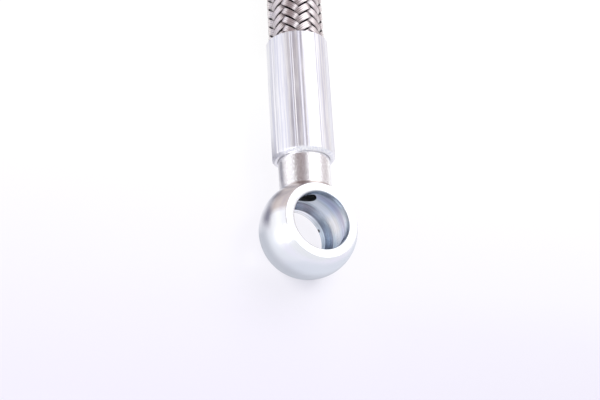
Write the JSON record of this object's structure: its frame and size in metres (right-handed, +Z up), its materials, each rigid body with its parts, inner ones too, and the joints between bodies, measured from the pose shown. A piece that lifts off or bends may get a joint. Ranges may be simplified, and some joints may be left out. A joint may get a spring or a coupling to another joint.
{
  "type": "turbo oil line",
  "caption": "Braided steel oil hose lying in a U, with a crimped ferrule and a ball-shaped banjo eye for a hollow bolt on its ends.",
  "frame": {"origin": "on the ground, midway between the two fittings", "axes": "+Y along both fittings towards the bend of the hose, +X from fitting a to fitting b, +Z up, along the bores"},
  "size_m": [0.1498, 0.1615, 0.0132],
  "materials": {
    "zinc_steel": "satin zinc plate",
    "ferrule_steel": "bright plated, drawn lengthwise",
    "braid_steel": "woven bright steel wire",
    "liner_rubber": "matt black"
  },
  "bodies": {
    "root": {"banjo_eye_a": "zinc_steel", "banjo_eye_b": "zinc_steel", "crimp_ferrule_a": "ferrule_steel", "crimp_ferrule_b": "ferrule_steel", "hose_braid": "braid_steel", "hose_liner": "liner_rubber"}
  },
  "joints": []
}
